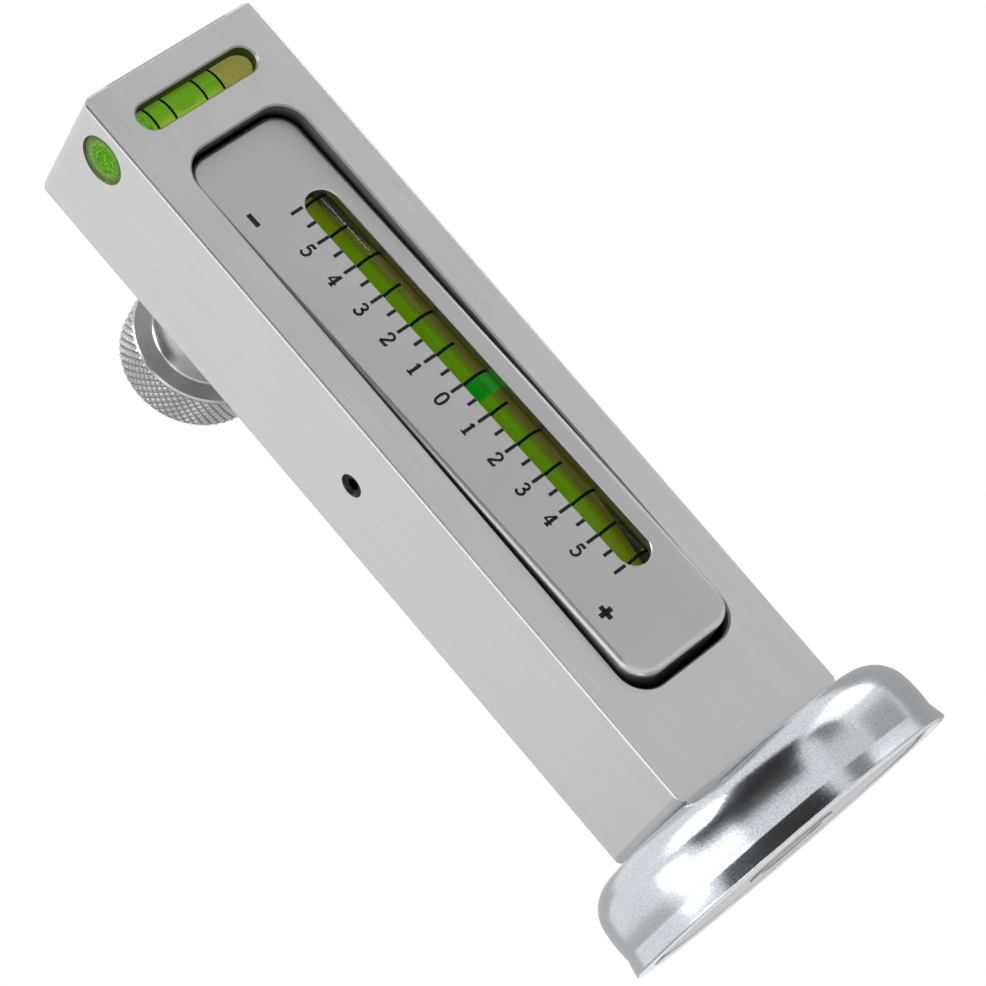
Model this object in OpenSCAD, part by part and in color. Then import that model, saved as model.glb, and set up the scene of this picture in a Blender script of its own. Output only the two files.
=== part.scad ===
// Camber caster gauge: a machined bar that stands on a pot magnet. A rocker in its
// pocket carries the long camber vial, and turns on a cross pin between the thumb screw
// at its upper end and a return spring at its lower end. A short vial lies across the top.
// Millimetres. +Z runs up the bar, the reading face looks along -Y, and the origin is the
// centre of the magnet's contact face. The rocker is drawn at its resting tilt.

/* [Body] */
// Width of the bar
body_w = 35; // [34:0.5:44]
// Depth of the bar, from the reading face to the back
body_d = 25; // [24:0.5:32]
// Length of the bar
body_l = 138; // [132:1:170]
// Radius on the four long edges
body_edge_r = 0.5; // [0.3:0.1:2]
// Rounding of both ends on the sides and the back, while the front stays crisp
body_end_r = 2; // [0.8:0.1:3]
// Edge break round each opening in the reading face
mouth_chamfer = 0.3; // [0.1:0.1:0.6]

/* [Pocket] */
// Width of the pocket for the rocker
pocket_w = 22.5; // [21:0.5:25]
// Radius in the pocket's corners
pocket_corner_r = 5; // [3.5:0.5:8]
// Bar left above the pocket
pocket_from_top = 16; // [13.5:0.5:20]
// Bar left below the pocket, where the magnet's fixing screw goes in
pocket_from_bottom = 16; // [14:0.5:20]

/* [Rocker] */
// Thickness of the rocker
rocker_t = 15; // [14.8:0.1:16]
// Gap beside the rocker
rocker_side_gap = 0.4; // [0.2:0.1:0.8]
// Gap at each end of the rocker when it is level
rocker_end_gap = 0.9; // [0.9:0.1:2]
// Free depth behind the rocker when it is level
rocker_floor_gap = 2.5; // [2.4:0.1:3]
// Rounding of the rocker's front edge
rocker_edge_r = 1; // [0.5:0.1:1.5]
// Tilt of the rocker at rest, upper end sunk in the pocket
rest_tilt = 2.4; // [0:0.1:2.5]

/* [Pivot] */
// Diameter of the cross pin
pivot_pin_d = 4; // [3:0.1:4.2]
// Depth of the cross pin behind the reading face
pivot_depth = 12.5; // [12.4:0.1:12.8]
// Length of pin held in the right wall
pivot_seat_l = 4.5; // [3:0.5:5]
// Length of the set screw that closes the pin's hole
set_screw_l = 3; // [2:0.5:3.5]
// Distance from the left side down to the set screw
set_screw_recess = 0.4; // [0.4:0.1:1.2]
// Width of the set screw's hexagon socket across its flats
set_screw_key = 2; // [1.3:0.1:2.2]

/* [Camber vial] */
// Outer diameter of the long vial
vial_d = 8.4; // [8:0.1:8.6]
// Length of the long vial
vial_l = 82; // [81:0.5:88]
// Bore of the long vial at its middle
vial_bore_d = 7; // [6.6:0.1:7.4]
// Distance that the bubble moves for one degree, which sets the barrel's radius
degree_step = 6.05; // [5.8:0.05:6.6]
// Wall of the rocker in front of the long vial
vial_cover = 0.6; // [0.6:0.1:1.4]
// Sideways place of the long vial
vial_x = 4.2; // [3:0.05:4.5]
// Width of the rocker's window
window_w = 5.9; // [5:0.1:6.4]
// Length of the rocker's window
window_l = 76; // [70:0.5:77]
// Edge break round the rocker's window
window_chamfer = 0.15; // [0.05:0.05:0.3]
// Diameter of each end plug of the long vial
vial_plug_d = 4.4; // [3.8:0.1:5]
// Length of each end plug of the long vial
vial_plug_l = 3; // [2:0.25:3.5]
// Length of the camber bubble
camber_bubble_l = 3.8; // [3.6:0.1:10]
// Diameter of the camber bubble's round ends
camber_bubble_d = 3.6; // [3:0.1:4.8]
// Place of the camber bubble's middle along the scale, below zero
camber_bubble_at = 1.9; // [-20:0.1:20]

/* [Cross vial] */
// Diameter of the bore that holds the short vial
cross_bore_d = 8.4; // [7:0.1:8.6]
// Depth of that bore, from the left side
cross_bore_l = 31.8; // [29.5:0.1:32]
// Distance of the short vial below the bar's top
cross_from_top = 7.7; // [7:0.1:8.5]
// Depth of the short vial's axis behind the reading face
cross_depth = 6.4; // [6:0.1:8]
// Distance from the left side to the short vial's end
cross_recess = 0.3; // [0.2:0.1:2]
// Bore of the short vial at its middle
cross_vial_bore_d = 6.4; // [5:0.1:6.4]
// Barrel radius of the short vial
cross_barrel_r = 160; // [120:5:400]
// Width of the slot over the short vial
cross_slot_w = 4.8; // [4:0.1:5.4]
// Length of the slot over the short vial
cross_slot_l = 23.6; // [20:0.2:24]
// Sideways place of that slot
cross_slot_x = -0.2; // [-0.6:0.1:0.6]
// Length of each end plug of the short vial
cross_plug_l = 8.5; // [2:0.25:9]
// Diameter of each end plug of the short vial
cross_plug_d = 5; // [4.4:0.1:5.2]
// Length of the short vial's bubble
cross_bubble_l = 6; // [4.5:0.2:9]
// Diameter of the short vial's bubble at its round ends
cross_bubble_d = 3.8; // [3:0.1:4.2]

/* [Thumb screw] */
// Diameter of the knurled rim
knob_d = 24; // [20:0.5:28]
// Thickness of the knurled rim
knob_rim_t = 9; // [6:0.5:12]
// Chamfer on both edges of the rim
knob_chamfer = 0.8; // [0.4:0.1:1.2]
// Diameter of the hub
knob_hub_d = 18; // [12:0.5:19]
// Length of the hub, from the rim toward the bar
knob_hub_l = 10; // [6:0.5:12]
// Gap between the hub and the bar at rest
knob_gap = 9.5; // [6:0.5:12]
// Distance of the screw's axis below the bar's top
screw_from_top = 29.5; // [28:0.5:34]
// Diameter of the screw
screw_d = 6; // [5:0.5:6.5]
// Length of the screw held in the knob
screw_seat_l = 14; // [8:0.5:16]
// Diameter of the thrust ball in the screw's tip
ball_d = 4; // [3:0.1:4.5]

/* [Return spring] */
// Outer diameter of the spring
spring_d = 7; // [5.5:0.1:7.4]
// Wire of the spring
spring_wire = 0.8; // [0.5:0.05:1]
// Number of coils
spring_coils = 7; // [4:0.5:8]
// Diameter of its two seats
spring_seat_d = 8; // [7.8:0.1:8.6]
// Depth of its seat in the rocker
spring_seat_l = 7.5; // [5:0.5:9]
// Depth of its seat in the pocket's floor
spring_floor_seat_l = 3; // [1:0.5:4]
// Distance of the spring's axis from the rocker's lower end
spring_from_end = 6.4; // [5.5:0.1:7]

/* [Magnet] */
// Diameter of the cup at its lip
magnet_d = 60; // [54:1:70]
// Height of the cup
magnet_h = 14; // [13:0.5:18]
// Outer radius of the cup's shoulder
shoulder_r = 6.4; // [4:0.2:8]
// How much narrower the cup's wall is at the shoulder than at the lip, on the radius
cup_flare = 0.5; // [0.2:0.1:1]
// Wall of the cup
cup_wall = 2.8; // [2:0.1:3]
// Width of the potting round the magnet
potting_w = 2; // [0.5:0.1:2]
// How far the magnet and its potting sit above the contact face
magnet_recess = 0.3; // [0.1:0.1:0.8]
// Diameter of the centre pole
pole_d = 16; // [14:0.5:20]
// Diameter of the fixing screw
fixing_d = 6; // [5:0.5:6]
// Length of the fixing screw with its head
fixing_l = 22; // [20:1:24]
// Diameter of the fixing screw's head
fixing_head_d = 12; // [10.5:0.5:12.5]
// Width of its hexagon socket across the flats
fixing_key = 4; // [3:0.5:5]

/* [Clearances] */
// Radial running clearance of the pivot, the screw and its ball
running_gap = 0.05; // [0.02:0.01:0.08]
// Radial clearance of pieces that are pushed together and stay
fit_gap = 0.03; // [0.02:0.01:0.06]
// Gap between the thrust ball and the rocker at rest
ball_gap = 0.1; // [0.05:0.05:0.2]
// End clearance where a blind hole is deeper than what it holds
end_gap = 0.5; // [0.2:0.1:1]

/* [Hidden] */

$fn = 96;
barrel_steps = 16;
over = 1;

body_top = magnet_h + body_l;
face_y = -body_d / 2;
back_y = body_d / 2;

pocket_l = body_l - pocket_from_top - pocket_from_bottom;
pocket_depth = rocker_t + rocker_floor_gap;
floor_y = face_y + pocket_depth;
pivot_y = face_y + pivot_depth;
pivot_z = body_top - pocket_from_top - pocket_l / 2;

// The rocker's own frame has its origin on the cross pin, with the rocker level
rocker_w = pocket_w - 2 * rocker_side_gap;
rocker_l = pocket_l - 2 * rocker_end_gap;
rocker_corner_r = pocket_corner_r - rocker_side_gap;
rocker_front = -pivot_depth;
rocker_back = rocker_front + rocker_t;

pin_left = -body_w / 2 + set_screw_recess + set_screw_l;
pin_right = pocket_w / 2 + pivot_seat_l;

vial_y = rocker_front + vial_cover + vial_d / 2;
vial_hole_d = vial_d + 2 * fit_gap;
vial_barrel_r = degree_step * 180 / PI;
liquid_l = vial_l - 2 * vial_plug_l;

cross_y = face_y + cross_depth;
cross_z = body_top - cross_from_top;
cross_vial_d = cross_bore_d - 2 * fit_gap;
cross_left = -body_w / 2 + cross_recess;
cross_vial_l = cross_bore_l - cross_recess - end_gap;
cross_mid = cross_left + cross_vial_l / 2;
cross_liquid_l = cross_vial_l - 2 * cross_plug_l;

screw_z = body_top - screw_from_top;
screw_arm = screw_z - pivot_z;
// Back of the tilted rocker where the thumb screw presses on it
press_y = pivot_y + (rocker_back + screw_arm * sin(rest_tilt)) / cos(rest_tilt);
ball_y = press_y + ball_gap + ball_d / 2;
hub_y = back_y + knob_gap;
rim_y = hub_y + knob_hub_l;

// Back of the tilted rocker at the spring, and the spring between its two seats
spring_below = rocker_l / 2 - spring_from_end;
spring_z = pivot_z - spring_below;
spring_top_y = pivot_y + (rocker_back - spring_below * sin(rest_tilt)) / cos(rest_tilt) - spring_seat_l;
spring_floor_y = floor_y + spring_floor_seat_l;

cup_base_z = magnet_h - cup_wall;
cup_side_r = magnet_d / 2 - cup_flare;
magnet_r = cup_side_r - cup_wall - potting_w;
fixing_head_h = (fixing_head_d - fixing_d) / 2;

aluminium = [0.75, 0.75, 0.76];
plate_grey = [0.66, 0.66, 0.67];
steel = [0.62, 0.64, 0.67];
zinc = [0.72, 0.75, 0.79];
black = [0.05, 0.05, 0.05];
clear_green = [0.55, 0.75, 0.15, 0.45];
liquid_green = [0.3, 0.6, 0.02, 0.8];
ferrite = [0.16, 0.16, 0.17];
epoxy = [0.1, 0.1, 0.1];
nylon = [0.85, 0.83, 0.75];

// ---- shapes that several pieces share ----

// Rectangle with round corners
module round_rect(w, l, r) {
    square([w - 2 * r, l], center = true);
    square([w, l - 2 * r], center = true);
    for (x = [-1, 1], y = [-1, 1])
        translate([x * (w / 2 - r), y * (l / 2 - r)])
            circle(r = r);
}

// Upright slot with round ends
module slot_outline(w, l) {
    square([w, l - w], center = true);
    for (end = [-1, 1])
        translate([0, end * (l - w) / 2])
            circle(d = w);
}

// Children drawn in the XY plane stand upright, with what was +Y as +Z and +Z looking along -Y
module facing_front() {
    rotate([90, 0, 0])
        children();
}

// Sloped edge break of a round-cornered opening, on the face z = 0 and cut down to z = -c
module mouth_break(w, l, r, c) {
    translate([0, 0, -c]) {
        for (x = [-1, 1], y = [-1, 1])
            translate([x * (w / 2 - r), y * (l / 2 - r)])
                cylinder(h = 2 * c, r1 = r, r2 = r + 2 * c);
        sloped_sides(w, l - 2 * r, c);
        rotate([0, 0, 90])
            sloped_sides(l, w - 2 * r, c);
    }
}

// The same for an upright slot
module slot_break(w, l, c) {
    translate([0, 0, -c]) {
        for (end = [-1, 1])
            translate([0, end * (l - w) / 2])
                cylinder(h = 2 * c, d1 = w, d2 = w + 4 * c);
        sloped_sides(w, l - w, c);
    }
}

// Trough with two sloped sides, w wide at its bottom and along long
module sloped_sides(w, along, c) {
    rotate([90, 0, 0])
        linear_extrude(height = along, center = true)
            polygon([[-w / 2, 0], [w / 2, 0], [w / 2 + 2 * c, 2 * c], [-w / 2 - 2 * c, 2 * c]]);
}

// Radius of a barrel at a distance z from its middle
function barrel_radius(mid_d, arc_r, z) = mid_d / 2 - arc_r + sqrt(arc_r * arc_r - z * z);

// What fills a vial's bore along Z: an arc of radius arc_r, turned round the axis
module barrel(mid_d, arc_r, length) {
    arc = [for (i = [0:barrel_steps])
        let (z = length * (i / barrel_steps - 0.5)) [barrel_radius(mid_d, arc_r, z), z]];
    rotate_extrude()
        polygon(concat([[0, -length / 2]], arc, [[0, length / 2]]));
}

// Vial tube along Z: barrel bore, and a plug's hole at each end
module vial_tube(outer_d, length, mid_d, arc_r, plug_d, plug_l) {
    difference() {
        cylinder(h = length, d = outer_d, center = true);
        barrel(mid_d, arc_r, length - 2 * plug_l + 0.01);
        for (side = [-1, 1])
            translate([0, 0, side * (length - plug_l + over) / 2])
                cylinder(h = plug_l + over, d = plug_d, center = true);
    }
}

// Both end plugs of a vial along Z
module vial_plugs(length, plug_d, plug_l) {
    for (side = [-1, 1])
        translate([0, 0, side * (length - plug_l) / 2])
            cylinder(h = plug_l, d = plug_d - 2 * fit_gap, center = true);
}

// Liquid of a vial along Z, with the bubble's hollow against the wall on the +X side
module vial_liquid(mid_d, arc_r, length, bubble_d, bubble_l, bubble_at) {
    wall_r = mid_d / 2 - fit_gap;
    difference() {
        barrel(mid_d - 2 * fit_gap, arc_r, length - 2 * fit_gap);
        translate([wall_r - bubble_d / 2 + 0.12, 0, bubble_at])
            capsule(bubble_d, bubble_l);
    }
}

// Cylinder along Z with round ends
module capsule(d, length) {
    rotate_extrude()
        intersection() {
            slot_outline(d, length);
            translate([0, -length / 2])
                square([d, length]);
        }
}

// Places what is drawn in the rocker's frame at the rocker's resting tilt
module on_rocker() {
    translate([0, pivot_y, pivot_z])
        rotate([-rest_tilt, 0, 0])
            children();
}

// Places what is drawn round +Z round the thumb screw's axis, with z = 0 at y and +Z looking along +Y
module on_screw_axis(y) {
    translate([0, y, screw_z])
        rotate([-90, 0, 0])
            children();
}

// Lays what is drawn along +Z along +X, at the short vial's middle, with +X looking along -Y
module on_cross_axis() {
    translate([cross_mid, cross_y, cross_z])
        rotate([0, 90, 0])
            rotate([0, 0, -90])
                children();
}

// ---- the bar ----

module bar() {
    intersection() {
        translate([0, 0, magnet_h])
            linear_extrude(height = body_l)
                round_rect(body_w, body_d, body_edge_r);
        translate([0, 0, magnet_h + body_l / 2])
            facing_front()
                linear_extrude(height = body_d + 2 * over, center = true)
                    round_rect(body_w, body_l, body_end_r);
        translate([0, 0, magnet_h + body_l / 2])
            rotate([0, 90, 0])
                linear_extrude(height = body_w + 2 * over, center = true) {
                    round_rect(body_l, body_d, body_end_r);
                    translate([0, -body_d / 4])
                        round_rect(body_l, body_d / 2, body_edge_r);
                }
    }
}

module body() {
    color(aluminium)
        difference() {
            bar();
            rocker_pocket();
            cross_vial_cut();
            pivot_hole();
            thumb_screw_hole();
            spring_floor_seat();
            fixing_hole();
        }
}

module rocker_pocket() {
    translate([0, face_y, pivot_z])
        facing_front() {
            translate([0, 0, -pocket_depth])
                linear_extrude(height = pocket_depth + over)
                    round_rect(pocket_w, pocket_l, pocket_corner_r);
            mouth_break(pocket_w, pocket_l, pocket_corner_r, mouth_chamfer);
        }
}

module cross_vial_cut() {
    translate([-body_w / 2 - over, cross_y, cross_z])
        rotate([0, 90, 0])
            cylinder(h = cross_bore_l + over, d = cross_bore_d);
    translate([cross_slot_x, face_y, cross_z])
        facing_front()
            rotate([0, 0, 90]) {
                translate([0, 0, -cross_depth])
                    linear_extrude(height = cross_depth + over)
                        slot_outline(cross_slot_w, cross_slot_l);
                slot_break(cross_slot_w, cross_slot_l, mouth_chamfer);
            }
}

module pivot_hole() {
    hole_l = body_w / 2 + pin_right + end_gap;
    translate([-body_w / 2 - over, pivot_y, pivot_z])
        rotate([0, 90, 0])
            cylinder(h = hole_l + over, d = pivot_pin_d + 2 * fit_gap);
}

module thumb_screw_hole() {
    on_screw_axis(floor_y - over)
        cylinder(h = body_d, d = screw_d + 2 * running_gap);
}

module spring_floor_seat() {
    translate([0, floor_y - over, spring_z])
        rotate([-90, 0, 0])
            cylinder(h = spring_floor_seat_l + over, d = spring_seat_d);
}

module fixing_hole() {
    translate([0, 0, magnet_h - over])
        cylinder(h = fixing_l - magnet_h + magnet_recess + end_gap + over, d = fixing_d + 2 * fit_gap);
}

// ---- the short vial across the top ----

module cross_vial() {
    color(clear_green)
        on_cross_axis()
            vial_tube(cross_vial_d, cross_vial_l, cross_vial_bore_d, cross_barrel_r, cross_plug_d, cross_plug_l);
}

module cross_vial_liquid() {
    color(liquid_green)
        on_cross_axis()
            vial_liquid(cross_vial_bore_d, cross_barrel_r, cross_liquid_l, cross_bubble_d, cross_bubble_l, 0);
}

module cross_vial_plugs() {
    color(clear_green)
        on_cross_axis()
            vial_plugs(cross_vial_l, cross_plug_d, cross_plug_l);
}

// ---- the pivot ----

module pivot_pin() {
    color(steel)
        translate([pin_left, pivot_y, pivot_z])
            rotate([0, 90, 0])
                cylinder(h = pin_right - pin_left, d = pivot_pin_d);
}

module pivot_set_screw() {
    socket_l = set_screw_l / 2;
    color(black)
        translate([-body_w / 2 + set_screw_recess, pivot_y, pivot_z])
            rotate([0, 90, 0])
                difference() {
                    cylinder(h = set_screw_l, d = pivot_pin_d);
                    translate([0, 0, -over])
                        cylinder(h = socket_l + over, d = set_screw_key / cos(30), $fn = 6);
                }
}

// ---- the rocker and what it carries ----

// What lies outside a rounding of radius r about the origin, in the upper corner on one side
module outside_of_round(side, r) {
    difference() {
        translate([side > 0 ? 0 : -r - over, 0])
            square(r + over);
        circle(r = r);
    }
}

// Block whose front edge is rounded all the way round, with its front on z = 0
module bullnosed_block(w, l, t, corner_r, edge_r) {
    difference() {
        translate([0, 0, -t])
            linear_extrude(height = t)
                round_rect(w, l, corner_r);
        for (side = [-1, 1]) {
            translate([side * (w / 2 - edge_r), 0, -edge_r])
                rotate([90, 0, 0])
                    linear_extrude(height = l - 2 * corner_r, center = true)
                        outside_of_round(side, edge_r);
            translate([0, side * (l / 2 - edge_r), -edge_r])
                rotate([90, 0, 90])
                    linear_extrude(height = w - 2 * corner_r, center = true)
                        outside_of_round(side, edge_r);
            for (end = [-1, 1])
                translate([side * (w / 2 - corner_r), end * (l / 2 - corner_r), -edge_r])
                    round_corner_cut(side, end, corner_r, edge_r);
        }
    }
}

// The same rounding's cut round one corner, about the corner's own centre
module round_corner_cut(side, end, corner_r, edge_r) {
    reach = corner_r + over;
    intersection() {
        rotate_extrude()
            translate([corner_r - edge_r, 0])
                outside_of_round(1, edge_r);
        translate([(side - 1) / 2 * reach, (end - 1) / 2 * reach, -over])
            cube([reach, reach, edge_r + 3 * over]);
    }
}

module rocker() {
    color(plate_grey)
        on_rocker()
            difference() {
                translate([0, rocker_front, 0])
                    facing_front()
                        bullnosed_block(rocker_w, rocker_l, rocker_t, rocker_corner_r, rocker_edge_r);
                rocker_window();
                vial_hole();
                pivot_bearing();
                rocker_spring_seat();
            }
}

module rocker_window() {
    translate([vial_x, rocker_front, 0])
        facing_front() {
            translate([0, 0, -vial_cover - vial_d / 2])
                linear_extrude(height = vial_cover + vial_d / 2 + over)
                    slot_outline(window_w, window_l);
            slot_break(window_w, window_l, window_chamfer);
        }
}

// The long vial slides in from the rocker's upper end
module vial_hole() {
    translate([vial_x, vial_y, -vial_l / 2])
        cylinder(h = (rocker_l + vial_l) / 2 + over, d = vial_hole_d);
}

module pivot_bearing() {
    rotate([0, 90, 0])
        cylinder(h = rocker_w + 2 * over, d = pivot_pin_d + 2 * running_gap, center = true);
}

module rocker_spring_seat() {
    translate([0, rocker_back - spring_seat_l, -spring_below])
        rotate([-90, 0, 0])
            cylinder(h = spring_seat_l + over, d = spring_seat_d);
}

module camber_vial() {
    color(clear_green)
        on_rocker()
            translate([vial_x, vial_y, 0])
                vial_tube(vial_d, vial_l, vial_bore_d, vial_barrel_r, vial_plug_d, vial_plug_l);
}

module camber_vial_liquid() {
    color(liquid_green)
        on_rocker()
            translate([vial_x, vial_y, 0])
                rotate([0, 0, -90])
                    vial_liquid(vial_bore_d, vial_barrel_r, liquid_l, camber_bubble_d, camber_bubble_l, -camber_bubble_at);
}

module camber_vial_plugs() {
    color(clear_green)
        on_rocker()
            translate([vial_x, vial_y, 0])
                vial_plugs(vial_l, vial_plug_d, vial_plug_l);
}

// Slotted plug that keeps the long vial in its hole
module vial_retainer() {
    plug_l = (rocker_l - vial_l) / 2 - end_gap;
    slot_w = vial_d / 7;
    slot_deep = plug_l / 6;
    color(nylon)
        on_rocker()
            translate([vial_x, vial_y, vial_l / 2])
                difference() {
                    cylinder(h = plug_l, d = vial_d);
                    translate([0, 0, plug_l])
                        cube([vial_d + over, slot_w, 2 * slot_deep], center = true);
                }
}

// ---- the thumb screw ----

module adjuster_knob() {
    rim_r = knob_d / 2;
    hub_r = knob_hub_d / 2;
    knob_l = knob_hub_l + knob_rim_t;
    color(aluminium)
        on_screw_axis(hub_y)
            difference() {
                rotate_extrude()
                    polygon([[0, 0], [hub_r - knob_chamfer, 0], [hub_r, knob_chamfer], [hub_r, knob_hub_l],
                             [rim_r - knob_chamfer, knob_hub_l], [rim_r, knob_hub_l + knob_chamfer],
                             [rim_r, knob_l - knob_chamfer], [rim_r - knob_chamfer, knob_l], [0, knob_l]]);
                translate([0, 0, -over])
                    cylinder(h = screw_seat_l + over, d = screw_d + 2 * fit_gap);
            }
}

module adjuster_screw() {
    tip_y = ball_y + ball_d / 4;
    screw_l = hub_y + screw_seat_l - end_gap - tip_y;
    tip_chamfer = screw_d / 12;
    color(steel)
        difference() {
            on_screw_axis(tip_y)
                rotate_extrude()
                    polygon([[0, 0], [screw_d / 2 - tip_chamfer, 0], [screw_d / 2, tip_chamfer],
                             [screw_d / 2, screw_l], [0, screw_l]]);
            on_screw_axis(ball_y)
                sphere(d = ball_d + 2 * running_gap);
        }
}

module thrust_ball() {
    color(steel)
        on_screw_axis(ball_y)
            sphere(d = ball_d);
}

// ---- the return spring ----

// One closed tube of round wire: sides points on each ring, rings along the helix
module helix_wire(coil_r, wire_r, length, coils, sides, rings_per_coil) {
    rings = ceil(coils * rings_per_coil);
    lead = length / (coils * 360);
    slope = atan(lead * 180 / (PI * coil_r));
    points = [for (i = [0:rings]) let (turn = i * coils * 360 / rings)
        for (k = [0:sides - 1]) let (side = k * 360 / sides, out = wire_r * cos(side), up = wire_r * sin(side))
            [(coil_r + out) * cos(turn) + up * sin(slope) * sin(turn),
             (coil_r + out) * sin(turn) - up * sin(slope) * cos(turn),
             lead * turn + up * cos(slope)]];
    walls = [for (i = [0:rings - 1], k = [0:sides - 1])
        let (a = i * sides + k, b = i * sides + (k + 1) % sides)
            each [[a, a + sides, b], [b, a + sides, b + sides]]];
    first_cap = [for (k = [1:sides - 2]) [0, k, k + 1]];
    last_cap = [for (k = [1:sides - 2]) [rings * sides, rings * sides + k + 1, rings * sides + k]];
    polyhedron(points, concat(walls, first_cap, last_cap));
    echo(str("least gap between coils ", length / coils - 2 * wire_r, " mm"));
}

module return_spring() {
    color(steel)
        translate([0, spring_top_y + spring_wire / 2 + end_gap / 2, spring_z])
            rotate([-90, 0, 0])
                helix_wire((spring_d - spring_wire) / 2, spring_wire / 2,
                           spring_floor_y - spring_top_y - spring_wire - end_gap, spring_coils, 6, 12);
}

// ---- the magnet ----

// Outline of the cup's outside, to the right of its axis
module cup_outline(lip_r, side_r, height, r) {
    square([side_r - r, height]);
    square([side_r, height - r]);
    translate([side_r - r, height - r])
        circle(r = r);
    polygon([[0, 0], [lip_r, 0], [side_r, height - r], [0, height - r]]);
}

module magnet_cup() {
    color(zinc)
        difference() {
            rotate_extrude()
                difference() {
                    intersection() {
                        cup_outline(magnet_d / 2, cup_side_r, magnet_h, shoulder_r);
                        square([magnet_d, magnet_h]);
                    }
                    translate([0, -over])
                        square([magnet_r + potting_w, cup_base_z + over - shoulder_r / 2]);
                    translate([0, -over])
                        square([magnet_r + potting_w - shoulder_r / 2, cup_base_z + over]);
                    translate([magnet_r + potting_w - shoulder_r / 2, cup_base_z - shoulder_r / 2])
                        circle(r = shoulder_r / 2);
                }
            cylinder(h = magnet_h + over, d = fixing_d + 2 * fit_gap);
        }
}

module ring_magnet() {
    break_r = shoulder_r / 2;
    color(ferrite)
        rotate_extrude()
            difference() {
                translate([pole_d / 2 + fit_gap, magnet_recess])
                    square([magnet_r - pole_d / 2 - fit_gap, cup_base_z - magnet_recess]);
                translate([magnet_r, cup_base_z])
                    rotate(45)
                        square(break_r * sqrt(2), center = true);
            }
}

module magnet_potting() {
    top_z = cup_base_z - shoulder_r / 2;
    color(epoxy)
        rotate_extrude()
            translate([magnet_r + fit_gap, magnet_recess])
                square([potting_w - 2 * fit_gap, top_z - magnet_recess]);
}

module centre_pole() {
    head_r = fixing_head_d / 2;
    hole_r = fixing_d / 2 + fit_gap;
    color(zinc)
        rotate_extrude()
            difference() {
                square([pole_d / 2, cup_base_z]);
                translate([0, -over])
                    square([hole_r, magnet_h]);
                polygon([[0, -over], [head_r + fit_gap, -over], [head_r + fit_gap, magnet_recess],
                         [hole_r, magnet_recess + head_r + fit_gap - hole_r], [0, magnet_h]]);
            }
}

module magnet_screw() {
    head_r = fixing_head_d / 2;
    tip_chamfer = fixing_d / 8;
    color(steel)
        translate([0, 0, magnet_recess])
            difference() {
                rotate_extrude()
                    polygon([[0, 0], [head_r, 0], [fixing_d / 2, fixing_head_h], [fixing_d / 2, fixing_l - tip_chamfer],
                             [fixing_d / 2 - tip_chamfer, fixing_l], [0, fixing_l]]);
                translate([0, 0, -over])
                    cylinder(h = fixing_head_h * 0.8 + over, d = fixing_key / cos(30), $fn = 6);
            }
}

body();
cross_vial();
cross_vial_liquid();
cross_vial_plugs();
pivot_pin();
pivot_set_screw();
rocker();
camber_vial();
camber_vial_liquid();
camber_vial_plugs();
vial_retainer();
adjuster_knob();
adjuster_screw();
thrust_ball();
return_spring();
magnet_cup();
ring_magnet();
magnet_potting();
centre_pole();
magnet_screw();
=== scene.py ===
"""Looks of the camber caster gauge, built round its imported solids. Metres, +Z up the bar."""
import math

import bmesh
import bpy
from mathutils import Matrix, Vector


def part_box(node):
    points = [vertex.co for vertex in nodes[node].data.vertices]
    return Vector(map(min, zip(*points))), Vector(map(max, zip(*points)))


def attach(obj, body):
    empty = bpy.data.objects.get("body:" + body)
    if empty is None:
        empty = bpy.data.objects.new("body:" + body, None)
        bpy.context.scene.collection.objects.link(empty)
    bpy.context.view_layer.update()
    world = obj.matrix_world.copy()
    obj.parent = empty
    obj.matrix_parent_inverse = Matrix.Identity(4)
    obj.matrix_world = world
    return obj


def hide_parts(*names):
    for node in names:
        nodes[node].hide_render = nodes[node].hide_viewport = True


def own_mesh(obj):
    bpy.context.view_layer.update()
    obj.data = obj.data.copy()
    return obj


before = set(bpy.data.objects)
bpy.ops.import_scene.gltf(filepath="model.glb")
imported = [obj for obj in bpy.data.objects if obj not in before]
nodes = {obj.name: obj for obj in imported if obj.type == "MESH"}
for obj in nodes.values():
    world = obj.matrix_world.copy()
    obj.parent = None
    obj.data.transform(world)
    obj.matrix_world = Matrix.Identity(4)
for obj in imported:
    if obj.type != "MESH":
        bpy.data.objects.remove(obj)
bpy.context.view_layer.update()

MM = 0.001

# Sizes of the gauge that the pieces made here go by, in millimetres
PIVOT_Z = 83.0
PIVOT = Vector((0.0, 0.0, PIVOT_Z)) * MM
REST_TILT = math.radians(2.4)
PLATE_FRONT = -12.5
VIAL_X = 4.2
VIAL_COVER = 0.6
VIAL_D = 8.4
VIAL_L = 82.0
DEGREE_STEP = 6.1
WINDOW_LEFT = 1.10
CROSS_VIAL_D = 8.34
CROSS_LEFT = -17.2
CROSS_RIGHT = 13.8
CROSS_Y = -6.1
CROSS_Z = 144.3
SCREW_Z = 122.5
HUB_Y = 22.0

ON_ROCKER = Matrix.Translation(PIVOT) @ Matrix.Rotation(-REST_TILT, 4, "X")
ON_SCREW = Matrix.Translation((0.0, HUB_Y * MM, SCREW_Z * MM)) @ Matrix.Rotation(-math.pi / 2, 4, "X")
IN_ROCKER_HOLE = ON_ROCKER @ Matrix.Translation(
    (VIAL_X * MM, (PLATE_FRONT + VIAL_COVER + VIAL_D / 2) * MM, 0.0)) @ Matrix.Rotation(-math.pi / 2, 4, "Z")
IN_CROSS_BORE = Matrix.Translation(
    ((CROSS_LEFT + CROSS_RIGHT) / 2 * MM, CROSS_Y * MM, CROSS_Z * MM)) @ Matrix.Rotation(math.pi / 2, 4, "Y")


# ---- node trees written as expressions ----


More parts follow.
